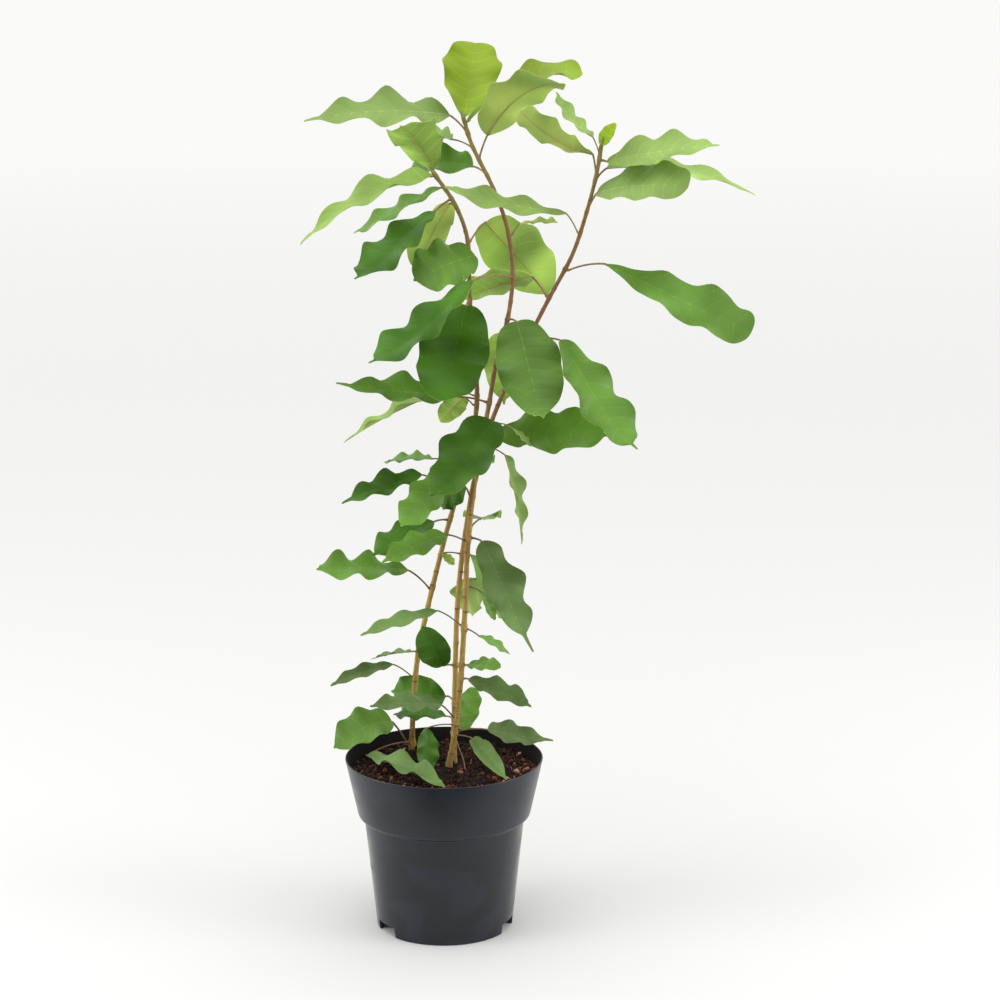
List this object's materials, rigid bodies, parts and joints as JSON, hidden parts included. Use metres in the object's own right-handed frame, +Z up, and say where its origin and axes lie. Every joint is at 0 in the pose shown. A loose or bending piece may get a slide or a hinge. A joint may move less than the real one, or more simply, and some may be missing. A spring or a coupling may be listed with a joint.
{
  "type": "potted natal fig",
  "caption": "Young natal fig in a round nursery pot: slender stems from one root clump with large, wavy, stalked leaves held well apart.",
  "frame": {"origin": "the middle of the pot's flat underside, on the surface it stands on", "axes": "+Z up, +X to the right and +Y to the back as seen from the plant's front"},
  "size_m": [0.3748, 0.1767, 0.756],
  "materials": {
    "pot_plastic": "satin",
    "potting_mix": "matte",
    "bark": "matte",
    "young_leaf": "satin",
    "pale_leaf": "satin",
    "fresh_leaf": "satin",
    "deep_leaf": "satin",
    "grey_leaf": "satin"
  },
  "bodies": {
    "root": {"pot": "pot_plastic", "soil": "potting_mix", "stem_left": "bark", "shoot_left": "young_leaf", "leaf_left_01": "fresh_leaf", "leaf_left_02": "grey_leaf", "leaf_left_03": "grey_leaf", "leaf_left_04": "grey_leaf", "leaf_left_05": "fresh_leaf", "leaf_left_06": "deep_leaf", "leaf_left_07": "deep_leaf", "leaf_left_08": "fresh_leaf", "leaf_left_09": "pale_leaf", "leaf_left_10": "pale_leaf", "leaf_left_11": "deep_leaf", "leaf_left_12": "fresh_leaf", "leaf_left_13": "pale_leaf", "leaf_left_14": "deep_leaf", "stem_centre": "bark", "shoot_centre": "young_leaf", "leaf_centre_01": "deep_leaf", "leaf_centre_02": "grey_leaf", "leaf_centre_03": "grey_leaf", "leaf_centre_04": "grey_leaf", "leaf_centre_05": "fresh_leaf", "leaf_centre_06": "fresh_leaf", "leaf_centre_07": "grey_leaf", "leaf_centre_08": "fresh_leaf", "leaf_centre_09": "pale_leaf", "leaf_centre_10": "fresh_leaf", "leaf_centre_11": "fresh_leaf", "leaf_centre_12": "grey_leaf", "leaf_centre_13": "deep_leaf", "leaf_centre_14": "fresh_leaf", "leaf_centre_15": "pale_leaf", "leaf_centre_16": "deep_leaf", "leaf_centre_17": "fresh_leaf", "leaf_centre_18": "pale_leaf", "leaf_centre_19": "fresh_leaf", "leaf_centre_20": "deep_leaf", "leaf_centre_21": "pale_leaf", "leaf_centre_22": "fresh_leaf", "leaf_centre_23": "deep_leaf", "stem_right": "bark", "shoot_right": "young_leaf", "leaf_right_01": "fresh_leaf", "leaf_right_02": "grey_leaf", "leaf_right_03": "deep_leaf", "leaf_right_04": "deep_leaf", "leaf_right_05": "deep_leaf", "leaf_right_06": "pale_leaf", "leaf_right_07": "fresh_leaf", "leaf_right_08": "pale_leaf", "leaf_right_09": "pale_leaf", "leaf_right_10": "fresh_leaf", "leaf_right_11": "pale_leaf", "leaf_right_12": "fresh_leaf", "leaf_right_13": "pale_leaf", "leaf_right_14": "deep_leaf"}
  },
  "joints": []
}
